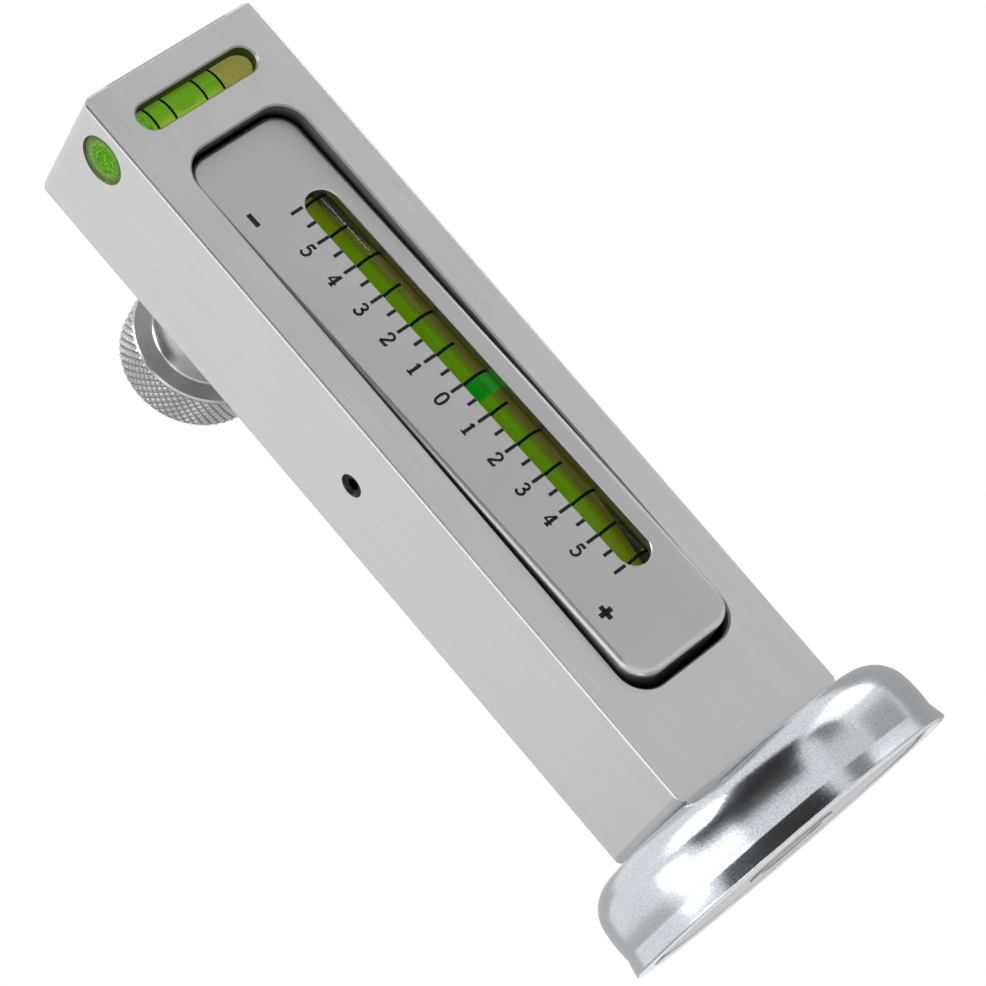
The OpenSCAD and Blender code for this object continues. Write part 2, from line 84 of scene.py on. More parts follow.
class Socket:
    """A node's output that can be used in an expression: each operator adds a Math node."""

    def __init__(self, graph, output):
        self.graph = graph
        self.output = output

    def _maths(self, operation, *operands):
        return self.graph.add("ShaderNodeMath", {"operation": operation}, *operands)

    def __add__(self, other):
        return self._maths("ADD", self, other)

    def __radd__(self, other):
        return self._maths("ADD", other, self)

    def __sub__(self, other):
        return self._maths("SUBTRACT", self, other)

    def __rsub__(self, other):
        return self._maths("SUBTRACT", other, self)

    def __mul__(self, other):
        return self._maths("MULTIPLY", self, other)

    def __rmul__(self, other):
        return self._maths("MULTIPLY", other, self)

    def __truediv__(self, other):
        return self._maths("DIVIDE", self, other)

    def __gt__(self, other):
        return self._maths("GREATER_THAN", self, other)

    def __lt__(self, other):
        return self._maths("LESS_THAN", self, other)

    def absolute(self):
        return self._maths("ABSOLUTE", self)

    def fraction(self):
        return self._maths("FRACT", self)

    def sine(self):
        return self._maths("SINE", self)

    def cosine(self):
        return self._maths("COSINE", self)

    def root(self):
        return self._maths("SQRT", self)

    def least(self, other):
        return self._maths("MINIMUM", self, other)

    def most(self, other):
        return self._maths("MAXIMUM", self, other)


class Graph:
    """Any node tree. add() makes a node from its type, settings and sockets."""

    def __init__(self, tree):
        self.tree = tree

    def node(self, kind, settings, *values, **named):
        made = self.tree.nodes.new(kind)
        for name, value in settings.items():
            setattr(made, name, value)
        for index, value in enumerate(values):
            self._feed(made.inputs[index], value)
        for name, value in named.items():
            self._feed(made.inputs[name.replace("_", " ")], value)
        return made

    def add(self, kind, settings, *values, **named):
        return Socket(self, self.node(kind, settings, *values, **named).outputs[0])

    def _feed(self, socket, value):
        if isinstance(value, Socket):
            self.tree.links.new(value.output, socket)
        elif value is not None:
            socket.default_value = value

    def split(self, vector):
        made = self.node("ShaderNodeSeparateXYZ", {}, vector)
        return [Socket(self, output) for output in made.outputs]

    def vector(self, x, y, z):
        return self.add("ShaderNodeCombineXYZ", {}, x, y, z)


class Shader(Graph):
    """Node tree of one material or of the world."""

    def __init__(self, owner):
        owner.use_nodes = True
        super().__init__(owner.node_tree)
        self.owner = owner
        self.tree.nodes.clear()

    def point(self):
        """Object coordinates, which are the shared frame's metres."""
        return Socket(self, self.node("ShaderNodeTexCoord", {}).outputs["Object"])

    def stretched(self, vector, scale):
        return self.add("ShaderNodeVectorMath", {"operation": "MULTIPLY"}, vector, scale)

    def noise(self, vector, scale, detail=2.0, roughness=0.5):
        return self.add("ShaderNodeTexNoise", {}, vector, Scale=scale, Detail=detail, Roughness=roughness)

    def band(self, value, low, high):
        """Rises from 0 at low to 1 at high."""
        made = self.node("ShaderNodeMapRange", {"interpolation_type": "SMOOTHSTEP"}, value, low, high, 0.0, 1.0)
        return Socket(self, made.outputs[0])

    def mix(self, factor, first, second):
        made = self.node("ShaderNodeMix", {"data_type": "RGBA"})
        for name, value in (("Factor_Float", factor), ("A_Color", first), ("B_Color", second)):
            socket = next(s for s in made.inputs if s.identifier == name)
            self._feed(socket, (*value, 1.0) if isinstance(value, tuple) and len(value) == 3 else value)
        return Socket(self, next(s for s in made.outputs if s.identifier == "Result_Color"))

    def bump(self, height, strength, distance):
        return self.add("ShaderNodeBump", {}, Strength=strength, Distance=distance, Height=height)

    def principled(self, **sockets):
        return self.add("ShaderNodeBsdfPrincipled", {}, **sockets)

    def finish(self, surface):
        output = "ShaderNodeOutputMaterial" if isinstance(self.owner, bpy.types.Material) else "ShaderNodeOutputWorld"
        self.node(output, {}, surface)
        return self.owner


class Shape(Graph):
    """Geometry Nodes tree that makes a piece from its named sizes."""

    def __init__(self, name, **sizes):
        super().__init__(bpy.data.node_groups.new(name, "GeometryNodeTree"))
        self.tree.interface.new_socket("Geometry", in_out="INPUT", socket_type="NodeSocketGeometry")
        self.identifiers = {}
        for size, value in sizes.items():
            kind = "NodeSocketInt" if isinstance(value, int) else "NodeSocketFloat"
            item = self.tree.interface.new_socket(size, in_out="INPUT", socket_type=kind)
            item.default_value = value
            self.identifiers[size] = item.identifier
        self.tree.interface.new_socket("Geometry", in_out="OUTPUT", socket_type="NodeSocketGeometry")
        self.entry = self.tree.nodes.new("NodeGroupInput")

    def size(self, name):
        return Socket(self, self.entry.outputs[name])

    def moved(self, geometry, position):
        return self.add("GeometryNodeSetPosition", {}, geometry, Position=position)

    def place(self):
        return self.split(self.add("GeometryNodeInputPosition", {}))

    def along(self, geometry, count, step, first):
        """Copies of a geometry along Z, step apart, the lowest one at first."""
        points = self.add("GeometryNodeMeshLine", {}, Count=count, Start_Location=self.vector(0.0, 0.0, first),
                          Offset=self.vector(0.0, 0.0, step))
        return self.add("GeometryNodeInstanceOnPoints", {}, points, Instance=geometry)

    def finish(self, geometry, smooth):
        realised = self.add("GeometryNodeRealizeInstances", {}, geometry)
        merged = self.add("GeometryNodeMergeByDistance", {}, realised, Distance=1e-6)
        shaded = self.add("GeometryNodeSetShadeSmooth", {}, merged, Shade_Smooth=smooth)
        finish_item = self.tree.interface.new_socket("Finish", in_out="INPUT", socket_type="NodeSocketMaterial")
        self.identifiers["Finish"] = finish_item.identifier
        dressed = self.add("GeometryNodeSetMaterial", {}, shaded, Material=self.size("Finish"))
        self.node("NodeGroupOutput", {}, dressed)
        return self

    def made(self, name, material, **sizes):
        """Mesh that the tree gives at these sizes."""
        holder = bpy.data.objects.new(name, bpy.data.meshes.new(name))
        bpy.context.collection.objects.link(holder)
        modifier = holder.modifiers.new("shape", "NODES")
        modifier.node_group = self.tree
        for size, value in {**sizes, "Finish": material}.items():
            modifier[self.identifiers[size]] = value
        graph = bpy.context.evaluated_depsgraph_get()
        mesh = bpy.data.meshes.new_from_object(holder.evaluated_get(graph))
        mesh.name = name
        bpy.data.objects.remove(holder)
        return mesh


# ---- pieces ----


def piece(name, mesh, place, body, replaced=()):
    """Puts a mesh where it goes, and hands it to the frame."""
    mesh.transform(place)
    obj = bpy.data.objects.new(name, mesh)
    bpy.context.collection.objects.link(obj)
    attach(obj, body)
    if replaced:
        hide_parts(*replaced)
    return obj


def dressed_mesh(name, shape, material, sharp_angle=35.0):
    """Mesh out of a bmesh, smooth but for its sharp edges."""
    bmesh.ops.recalc_face_normals(shape, faces=shape.faces)
    mesh = bpy.data.meshes.new(name)
    shape.to_mesh(mesh)
    shape.free()
    mesh.materials.append(material)
    mesh.shade_smooth()
    mesh.set_sharp_from_angle(angle=math.radians(sharp_angle))
    return mesh


def arc(centre, radius, start, end, steps):
    """Points on an arc, in millimetres and degrees."""
    turns = [math.radians(start + (end - start) * i / steps) for i in range(steps + 1)]
    return [(centre[0] + radius * math.cos(t), centre[1] + radius * math.sin(t)) for t in turns]


def turned(name, outline, material, steps=160, closed=False, sharp_angle=35.0):
    """Solid of revolution round Z from (radius, height) points in millimetres, up its outside."""
    shape = bmesh.new()
    rings = []
    for radius, height in outline:
        if radius < 1e-6:
            rings.append([shape.verts.new((0.0, 0.0, height * MM))] * steps)
            continue
        rings.append([shape.verts.new((radius * MM * math.cos(2 * math.pi * i / steps),
                                       radius * MM * math.sin(2 * math.pi * i / steps), height * MM))
                      for i in range(steps)])
    pairs = list(zip(rings, rings[1:])) + ([(rings[-1], rings[0])] if closed else [])
    for low, high in pairs:
        for i in range(steps):
            j = (i + 1) % steps
            corners = []
            for vert in (low[i], low[j], high[j], high[i]):
                if vert not in corners:
                    corners.append(vert)
            if len(corners) > 2:
                shape.faces.new(corners)
    return dressed_mesh(name, shape, material, sharp_angle)


def rod_outline(radius, length, ease):
    half = length / 2
    return ([(0.0, -half)] + arc((radius - ease, ease - half), ease, -90, 0, 4)
            + arc((radius - ease, half - ease), ease, 0, 90, 4) + [(0.0, half)])


# ---- finishes ----

BAR_LIGHT = (0.66, 0.66, 0.665)
BAR_DARK = (0.54, 0.54, 0.545)
PLATE_LIGHT = (0.57, 0.57, 0.575)
PLATE_DARK = (0.47, 0.47, 0.475)
# Painted shade of the bar's pocket: black deep in it, grey by its mouth
POCKET_SHADE_BLACK = (0.006, 0.006, 0.006)
POCKET_SHADE_GREY = (0.13, 0.13, 0.13)
# Painted shade on the rims round the bar's front
EDGE_PAINTED_SHADE = (0.22, 0.22, 0.222)
# Painted olive light in the short vial's bore, and painted green shade in its slot
BORE_PAINTED_LIGHT = (0.30, 0.27, 0.06)
SLOT_PAINTED_SHADE = (0.07, 0.095, 0.015)
# Painted olive shade of the long vial's hole
HOLE_PAINTED_SHADE = (0.085, 0.075, 0.003)
STEEL = (0.55, 0.56, 0.58)
VIAL_TINT = (0.90, 0.96, 0.55)
END_OLIVE = (0.105, 0.125, 0.004)
# Painted shade on the long vial's spirit: on its right side, and in its bubble
RIGHT_SIDE_PAINTED_SHADE = (0.055, 0.050, 0.001)
BUBBLE_PAINTED_SHADE = (0.003, 0.165, 0.006)

# Where the bar's openings lie, in millimetres, a little past their walls
MOUTH_FRONT = -12.48
MOUTH_BACK = -12.15
MOUTH_HALF_W = 12.3
POCKET_HALF_W = 11.3
POCKET_HALF_L = 53.05
POCKET_FLOOR = 5.2
SLOT_X = -0.2
SLOT_HALF_L = 11.82
SLOT_HALF_W = 2.42
SLOT_FLOOR = 0.0
BORE_R = 4.3
BORE_MOUTH = -17.3
BORE_END = 15.0
VIAL_HOLE_FOOT = 41.0
# The long vial's bubble, by the rocker's own height
BUBBLE_LOW = -2.42
BUBBLE_HIGH = 1.25


def new_material(name):
    return Shader(bpy.data.materials.new(name))


def from_axis(across, up):
    """Distance from an axis, by the distances along two directions square to it."""
    return (across * across + up * up).root()


def between(place, low, high):
    """1 between two places in millimetres, and 0 past them."""
    return (place > low * MM) * (place < high * MM)


def darker(colour, share):
    return tuple(share * c for c in colour)


def brushed_aluminium():
    """Bar stock with fine streaks along its length, painted shade in its pocket and on the rims of its front, and
    painted olive light and green shade on the walls of the short vial's bore and slot.
    """
    shader = new_material("brushed_bar")
    place = shader.point()
    x, y, z = shader.split(place)
    streaks = shader.noise(shader.stretched(place, (3800.0, 3800.0, 90.0)), 1.0, 4.0, 0.6)
    scratches = shader.noise(shader.stretched(place, (900.0, 900.0, 30.0)), 1.0, 2.0)
    clouds = shader.noise(place, 70.0, 4.0)
    colour = shader.mix(streaks * 0.45 + scratches * 0.3 + clouds * 0.25, BAR_DARK, BAR_LIGHT)

    in_pocket = ((x.absolute() < POCKET_HALF_W * MM) * ((z - PIVOT_Z * MM).absolute() < POCKET_HALF_L * MM)
                 * between(y, MOUTH_BACK, POCKET_FLOOR))
    # Painted shade: the pocket's walls darken from grey at its mouth to black deeper in, and lose their metal
    painted_pocket_shade = shader.mix(shader.band(y, -12.2 * MM, -9.0 * MM), POCKET_SHADE_GREY, POCKET_SHADE_BLACK)
    colour = shader.mix(in_pocket, colour, painted_pocket_shade)

    up = z - CROSS_Z * MM
    in_bore = (from_axis(y - CROSS_Y * MM, up) < BORE_R * MM) * between(x, BORE_MOUTH, BORE_END)
    in_slot = (((x - SLOT_X * MM).absolute() < SLOT_HALF_L * MM) * (up.absolute() < SLOT_HALF_W * MM)
               * between(y, MOUTH_BACK, SLOT_FLOOR))
    # Painted olive light on the bore's walls and painted green shade on the slot's walls, which lose their metal
    colour = shader.mix(in_slot, shader.mix(in_bore, colour, BORE_PAINTED_LIGHT), SLOT_PAINTED_SHADE)
    by_vial = in_bore.most(in_slot)

    # Painted shade on the rims round the bar's front, which keeps highlights off them; rougher there too
    painted_edge_shade = between(y, MOUTH_FRONT, MOUTH_BACK) * (x.absolute() < MOUTH_HALF_W * MM)
    colour = shader.mix(painted_edge_shade * 0.75, colour, EDGE_PAINTED_SHADE)
    rough = (0.27 + streaks * 0.10 + clouds * 0.06).most(by_vial * 0.9).most(painted_edge_shade * 0.5)
    return shader.finish(shader.principled(
        Base_Color=colour, Metallic=1.0 - in_pocket.most(by_vial), Roughness=rough, Specular_IOR_Level=0.1,
        Normal=shader.bump(streaks * 0.7 + scratches * 0.3, 0.16, 0.00002)))


def satin_plate():
    """Bead-blasted face of the rocker, with painted olive shade on the walls of the long vial's hole."""
    shader = new_material("satin_plate")
    place = shader.point()
    grain = shader.noise(place, 3000.0, 3.0)
    clouds = shader.noise(place, 60.0, 3.0)
    colour = shader.mix(clouds * 0.7 + grain * 0.3, PLATE_DARK, PLATE_LIGHT)
    x, y, z = shader.split(place)
    behind = y + (z - PIVOT.z) * math.sin(-REST_TILT) - (PLATE_FRONT + VIAL_COVER + VIAL_D / 2) * MM
    # Painted olive shade on the walls of the vial's hole, which lose their metal
    in_hole = (from_axis(x - VIAL_X * MM, behind) < (VIAL_D / 2 + 0.1) * MM) * (z > VIAL_HOLE_FOOT * MM)
    colour = shader.mix(in_hole, colour, HOLE_PAINTED_SHADE)
    rough = (0.30 + grain * 0.10).most(in_hole * 0.9)
    return shader.finish(shader.principled(
        Base_Color=colour, Metallic=1.0 - in_hole, Roughness=rough, Specular_IOR_Level=0.1,
        Normal=shader.bump(grain, 0.10, 0.00002)))


def zinc_plating():
    """Bright zinc on pressed steel, with a crackled grain."""
    shader = new_material("zinc_plating")
    place = shader.point()
    grain = shader.noise(shader.stretched(place, (1.0, 1.0, 1.8)), 2200.0, 3.0, 0.65)
    clouds = shader.noise(place, 55.0, 3.0)
    drawn = shader.noise(shader.stretched(place, (60.0, 60.0, 900.0)), 1.0, 2.0)
    specks = shader.band(shader.noise(place, 3600.0, 2.0, 0.7), 0.36, 0.62)
    colour = shader.mix(clouds * 0.3 + drawn * 0.2 + specks * 0.5, (0.46, 0.50, 0.54), (0.74, 0.78, 0.81))
    rough = 0.10 + grain * 0.12 + clouds * 0.06
    height = grain * 0.6 + drawn * 0.4
    return shader.finish(shader.principled(
        Base_Color=colour, Metallic=1.0, Roughness=rough, Normal=shader.bump(height, 0.5, 0.00003)))


def plain_metal(name, colour, low, high):
    shader = new_material(name)
    place = shader.point()
    grain = shader.noise(place, 1500.0, 3.0)
    rough = low + grain * (high - low)
    return shader.finish(shader.principled(
        Base_Color=shader.mix(grain, colour, darker(colour, 0.82)), Metallic=1.0, Roughness=rough,
        Normal=shader.bump(grain, 0.08, 0.00002)))


def turned_metal(name, colour):
    """Metal with the fine rings that a lathe leaves, round the thumb screw's axis."""
    shader = new_material(name)
    place = shader.point()
    x, y, z = shader.split(place)
    radius = from_axis(x, z - SCREW_Z * MM)
    rings = shader.noise(shader.vector(radius * 5200.0, y * 5200.0, 0.0), 1.0, 2.0)
    rough = 0.22 + rings * 0.12
    return shader.finish(shader.principled(
        Base_Color=shader.mix(rings, colour, darker(colour, 0.78)), Metallic=1.0, Roughness=rough,
        Normal=shader.bump(rings, 0.1, 0.00002)))


def knurled_metal(name, colour, bottom, crest):
    """Metal with painted shade in its knurled grooves, darker towards their bottoms by the distance from the thumb
    screw's axis in millimetres.
    """
    shader = new_material(name)
    place = shader.point()
    x, y, z = shader.split(place)
    # Painted shade: the knurl darkens from its crests down into its grooves
    crests = shader.band(from_axis(x, z - SCREW_Z * MM), bottom * MM, crest * MM)
    grain = shader.noise(place, 1500.0, 3.0)
    return shader.finish(shader.principled(
        Base_Color=shader.mix(crests, darker(colour, 0.45), colour), Metallic=1.0,
        Roughness=0.26 + grain * 0.12, Normal=shader.bump(grain, 0.08, 0.00002)))


def plain_stuff(name, colour, low, high, shine=0.5):
    shader = new_material(name)
    grain = shader.noise(shader.point(), 900.0, 4.0)
    rough = low + grain * (high - low)
    return shader.finish(shader.principled(
        Base_Color=shader.mix(grain, colour, darker(colour, 0.7)), Roughness=rough,
        Specular_IOR_Level=shine, Normal=shader.bump(grain, 0.1, 0.00002)))


def clear_rod():
    """Clear acrylic that lets lamp light through to what it holds."""
    shader = new_material("vial_acrylic")
    glass = shader.principled(
        Base_Color=(*VIAL_TINT, 1.0), Roughness=0.015, IOR=1.49, Specular_Tint=(0.12, 0.12, 0.12, 1.0),
        Transmission_Weight=1.0)
    clear = shader.add("ShaderNodeBsdfTransparent", {}, (*VIAL_TINT, 1.0))
    path = shader.node("ShaderNodeLightPath", {})
    return shader.finish(shader.add("ShaderNodeMixShader", {}, Socket(shader, path.outputs["Is Shadow Ray"]),
                                    glass, clear))


def faintly_glowing(shader, colour):
    """Finish with a painted glow: emission gives it light of its own, and it mirrors nothing."""
    # Painted glow: emission makes it give light though it is no lamp
    return shader.finish(shader.principled(
        Base_Color=shader.mix(0.7, colour, (0.0, 0.0, 0.0)), Roughness=0.5, Specular_IOR_Level=0.0,
        Emission_Color=colour, Emission_Strength=0.9))


def camber_spirit():
    """The long vial's spirit: more olive towards its ends, with painted shade in deep olive on its right side and in
    deepest green in the bubble.
    """
    shader = new_material("camber_spirit")
    place = shader.point()
    x, y, z = shader.split(place)
    height = z - PIVOT.z - y * math.sin(REST_TILT)
    colour = shader.mix(shader.noise(place, 160.0, 2.0), (0.066, 0.170, 0.002), (0.08, 0.185, 0.003))
    colour = shader.mix(shader.band(height.absolute(), 22 * MM, 40 * MM), colour, END_OLIVE)
    # Painted shade: the spirit turns deep olive on its right side, and deepest green in the bubble
    colour = shader.mix(shader.band(x, (VIAL_X - 0.6) * MM, (VIAL_X + 1.6) * MM), colour, RIGHT_SIDE_PAINTED_SHADE)
    return faintly_glowing(shader, shader.mix(between(height, BUBBLE_LOW, BUBBLE_HIGH), colour, BUBBLE_PAINTED_SHADE))


def cross_spirit():
    """The short vial's spirit: a painted yellow highlight in its lower half, and painted shade on its top."""
    shader = new_material("cross_spirit")
    place = shader.point()
    x, y, z = shader.split(place)
    clouds = shader.noise(place, 160.0, 2.0)
    colour = shader.mix(clouds, (0.10, 0.27, 0.012), (0.16, 0.34, 0.025))
    # Painted highlight: yellow light in the spirit's lower half
    low = 1.0 - shader.band(z, (CROSS_Z - 2.0) * MM, CROSS_Z * MM)
    colour = shader.mix(low * (clouds * 0.8 + 0.2), colour, (0.42, 0.52, 0.05))
    # Painted shade on the spirit's top
    high = shader.band(z, (CROSS_Z + 1.2) * MM, (CROSS_Z + 3.0) * MM)
    return faintly_glowing(shader, shader.mix(high, colour, (0.045, 0.15, 0.01)))


def short_vial_ends():
    """The short vial's closed ends, with a painted glow: green like the spirit on the left, olive on the right."""
    shader = new_material("vial_ends")
    place = shader.point()
    x, y, z = shader.split(place)
    specks = shader.noise(place, 2400.0, 3.0, 0.7)
    rim = shader.band(from_axis(y - CROSS_Y * MM, z - CROSS_Z * MM), 2.3 * MM, 3.9 * MM)
    bright = shader.mix(shader.band(specks, 0.45, 0.75), (0.07, 0.24, 0.012), (0.30, 0.60, 0.10))
    green = shader.mix(rim, bright, (0.05, 0.10, 0.01))
    olive = shader.mix(specks, (0.17, 0.16, 0.05), (0.34, 0.32, 0.10))
    return faintly_glowing(shader, shader.mix(x > 0.0, green, olive))


ACRYLIC = clear_rod()
ZINC = zinc_plating()
BRIGHT_STEEL = plain_metal("bright_steel", STEEL, 0.16, 0.3)
NICKEL = plain_metal("magnet_nickel", (0.50, 0.50, 0.51), 0.35, 0.5)
KNOB_TURNED = turned_metal("knob_turned", (0.60, 0.60, 0.605))
KNOB_KNURLED = knurled_metal("knob_knurled", (0.40, 0.40, 0.405), 12.08, 12.30)
PRINT_BLACK = plain_stuff("print_black", (0.012, 0.012, 0.012), 0.4, 0.55, 0.15)
RING_BLACK = plain_stuff("ring_black", (0.003, 0.010, 0.002), 0.4, 0.55, 0.0)
VIAL_ENDS = short_vial_ends()

FINISHES = {
    "body": brushed_aluminium(),
    "rocker": satin_plate(),
    "cross_vial_liquid": cross_spirit(),
    "camber_vial_liquid": camber_spirit(),
    "cross_vial_plugs": VIAL_ENDS,
    "centre_pole": NICKEL,
    "pivot_pin": BRIGHT_STEEL,
    "thrust_ball": BRIGHT_STEEL,
    "magnet_screw": NICKEL,
    "ring_magnet": NICKEL,
    "pivot_set_screw": plain_stuff("black_oxide", (0.004, 0.004, 0.004), 0.35, 0.5, 0.15),
    "magnet_potting": plain_stuff("potting", (0.05, 0.05, 0.05), 0.35, 0.5),
    "vial_retainer": plain_stuff("nylon", (0.75, 0.73, 0.66), 0.45, 0.6),
}
for node_name, finish_material in FINISHES.items():
    mesh = nodes[node_name].data
    mesh.materials.clear()
    mesh.materials.append(finish_material)


# ---- shapes that repeat ----


def rolled_relief(name, height_of, smooth):
    """Sheet rolled round Z whose height above its radius is a rule of the turn and the way up."""
    shape = Shape(name, Length=1.0, Around=8, Up=8, Radius=1.0, Depth=1.0)
    sheet = shape.add("GeometryNodeMeshGrid", {}, 1.0, shape.size("Length"), shape.size("Around"), shape.size("Up"))
    x, y, z = shape.place()
    end = ((shape.size("Length") / 2 - y.absolute()) / (0.35 * MM)).least(1.0)
    height = shape.size("Radius") + shape.size("Depth") * end * height_of(x, y)
    turn = x * (2 * math.pi)
    return shape.finish(shape.moved(sheet, shape.vector(height * turn.cosine(), height * turn.sine(), y)), smooth)


def groove(phase):
    """0 in the bottom of a V groove and 1 halfway to the next, at a phase counted in grooves."""
    return (phase.fraction() - 0.5).absolute() * 2


def stroke_row():
    """Printed strokes along Z, all from one edge."""
    shape = Shape("stroke_row", Count=2, Step=1.0, Length=1.0, Width=1.0, Thickness=1.0)
    bar = shape.add("GeometryNodeMeshCube", {},
                    shape.vector(shape.size("Length"), shape.size("Thickness"), shape.size("Width")))
    x, y, z = shape.place()
    bar = shape.moved(bar, shape.vector(x - shape.size("Length") / 2, y, z))
    first = 0.0 - shape.size("Step") * (shape.size("Count") - 1) / 2
    return shape.finish(shape.along(bar, shape.size("Count"), shape.size("Step"), first), False)


def ring_row():
    """Painted lines on a round vial, each from one turn to another, in turns of 1."""
    shape = Shape("ring_row", Count=2, Step=1.0, Radius=1.0, Width=1.0, Thickness=1.0, From=0.0, Sweep=0.5)
    band = shape.add("GeometryNodeMeshCube", {},
                     shape.vector(1.0, shape.size("Thickness"), shape.size("Width")), 73, 2, 2)
    x, y, z = shape.place()
    turn = (shape.size("From") + (x + 0.5) * shape.size("Sweep")) * (2 * math.pi)
    reach = shape.size("Radius") + y
    band = shape.moved(band, shape.vector(reach * turn.cosine(), reach * turn.sine(), z))
    first = 0.0 - shape.size("Step") * (shape.size("Count") - 1) / 2
    return shape.finish(shape.along(band, shape.size("Count"), shape.size("Step"), first), True)


def wound_wire():
    """Round wire wound along Z from 0 to its height."""
    shape = Shape("wound_wire", Turns=1.0, Height=1.0, Radius=1.0, Wire=1.0)
    path = shape.add("GeometryNodeCurveSpiral", {}, 48, shape.size("Turns"), shape.size("Radius"),
                     shape.size("Radius"), shape.size("Height"))
    section = shape.add("GeometryNodeCurvePrimitiveCircle", {"mode": "RADIUS"}, Resolution=16,
                        Radius=shape.size("Wire") / 2)
    tube = shape.add("GeometryNodeCurveToMesh", {}, path, section, Fill_Caps=True)
    return shape.finish(tube, True)


# ---- the printed scale on the rocker ----

PRINT_THICK = 0.03
STROKE_WIDTH = 0.55
SCALE_MIDDLE = 0.1
GLYPH_HEIGHT = 2.55
SIGN_HEIGHT = 1.15 * GLYPH_HEIGHT
NUMBERS_X = -3.3
SIGNS_X = -7.0
MINUS_Z = 39.1
PLUS_Z = -40.4
# How many times the pen's widths below are taken
PEN = 1.7
# Each numeral as pen strokes: points across and up in shares of its height, and the pen's width
NUMERALS = {
    "0": [([(0.0, 0.98), (0.17, 0.88), (0.24, 0.5), (0.17, 0.12), (0.0, 0.02), (-0.17, 0.12), (-0.24, 0.5),
            (-0.17, 0.88), (0.0, 0.98)], 0.105, True)],
    "1": [([(0.0, 0.0), (0.0, 0.98)], 0.13, False), ([(-0.2, 0.8), (-0.08, 0.86), (0.02, 0.96)], 0.07, True),
          ([(-0.22, 0.03), (0.22, 0.03)], 0.07, False)],
    "2": [([(-0.22, 0.7), (-0.2, 0.88), (0.0, 0.97), (0.2, 0.86), (0.2, 0.64), (0.0, 0.38), (-0.24, 0.08)],
           0.10, True),
          ([(-0.27, 0.055), (0.27, 0.055)], 0.11, False), ([(0.24, 0.03), (0.28, 0.2)], 0.06, False)],
    "3": [([(-0.22, 0.8), (-0.08, 0.96), (0.13, 0.92), (0.19, 0.75), (0.08, 0.58), (-0.07, 0.54)], 0.095, True),
          ([(-0.07, 0.54), (0.13, 0.5), (0.24, 0.28), (0.12, 0.07), (-0.1, 0.03), (-0.25, 0.18)], 0.105, True)],
    "4": [([(0.1, 0.98), (-0.29, 0.31)], 0.065, False), ([(-0.31, 0.29), (0.31, 0.29)], 0.075, False),
          ([(0.1, 0.0), (0.1, 0.98)], 0.13, False), ([(-0.06, 0.03), (0.26, 0.03)], 0.06, False)],
    "5": [([(-0.16, 0.93), (0.22, 0.95)], 0.12, False), ([(-0.15, 0.96), (-0.19, 0.56)], 0.06, False),
          ([(-0.19, 0.56), (0.02, 0.63), (0.22, 0.5), (0.24, 0.25), (0.1, 0.05), (-0.1, 0.03), (-0.25, 0.17)],
           0.10, True)],
    "+": [([(-0.42, 0.5), (0.42, 0.5)], 0.17, False), ([(0.0, 0.08), (0.0, 0.92)], 0.17, False)],
    "-": [([(-0.42, 0.5), (0.42, 0.5)], 0.17, False)],
}


def rounded_path(points, steps=8):
    """Smooth curve through the points."""
    closed = points[0] == points[-1]
    before = [points[-2]] if closed else [points[0]]
    after = [points[1]] if closed else [points[-1]]
    run = before + points + after
    path = []
    for a, b, c, d in zip(run, run[1:], run[2:], run[3:]):
        for i in range(steps):
            t = i / steps
            path.append(tuple(0.5 * (2 * b[k] + (c[k] - a[k]) * t + (2 * a[k] - 5 * b[k] + 4 * c[k] - d[k]) * t * t
                                     + (3 * b[k] - a[k] - 3 * c[k] + d[k]) * t ** 3) for k in (0, 1)))
    return path + [points[-1]]


def pen_stroke(shape, points, width, put):
    """Flat ribbon of even width along a path, made a thin solid."""
    edges = []
    for i, point in enumerate(points):
        ahead = points[min(i + 1, len(points) - 1)]
        behind = points[max(i - 1, 0)]
        run = Vector((ahead[0] - behind[0], ahead[1] - behind[1])).normalized() * width / 2
        edges.append([put(point[0] - run.y, point[1] + run.x), put(point[0] + run.y, point[1] - run.x)])
    thick = Vector((0.0, -PRINT_THICK * MM, 0.0))
    front = [[shape.verts.new(corner + thick) for corner in pair] for pair in edges]
    back = [[shape.verts.new(corner) for corner in pair] for pair in edges]
    for i in range(len(points) - 1):
        shape.faces.new((front[i][0], front[i][1], front[i + 1][1], front[i + 1][0]))
        shape.faces.new((back[i][0], back[i + 1][0], back[i + 1][1], back[i][1]))
        for side in (0, 1):
            shape.faces.new((front[i][side], front[i + 1][side], back[i + 1][side], back[i][side]))
    for i in (0, -1):
        shape.faces.new((front[i][0], back[i][0], back[i][1], front[i][1]))


def numeral(shape, sign, x, z, height):
    """A numeral that reads down the rocker, its top towards +X."""
    def put(across, up):
        return Vector(((x + (up - 0.5) * height) * MM, PLATE_FRONT * MM, (z - across * height) * MM))
    for points, width, curved in NUMERALS[sign]:
        pen_stroke(shape, rounded_path(points) if curved else points, width * PEN, put)


def scale_numbers():
    shape = bmesh.new()
    for degree in range(-5, 6):
        numeral(shape, str(abs(degree)), NUMBERS_X, degree * DEGREE_STEP + SCALE_MIDDLE, GLYPH_HEIGHT)
    numeral(shape, "-", SIGNS_X, MINUS_Z, SIGN_HEIGHT)
    numeral(shape, "+", SIGNS_X, PLUS_Z, SIGN_HEIGHT)
    return dressed_mesh("scale_numbers", shape, PRINT_BLACK)


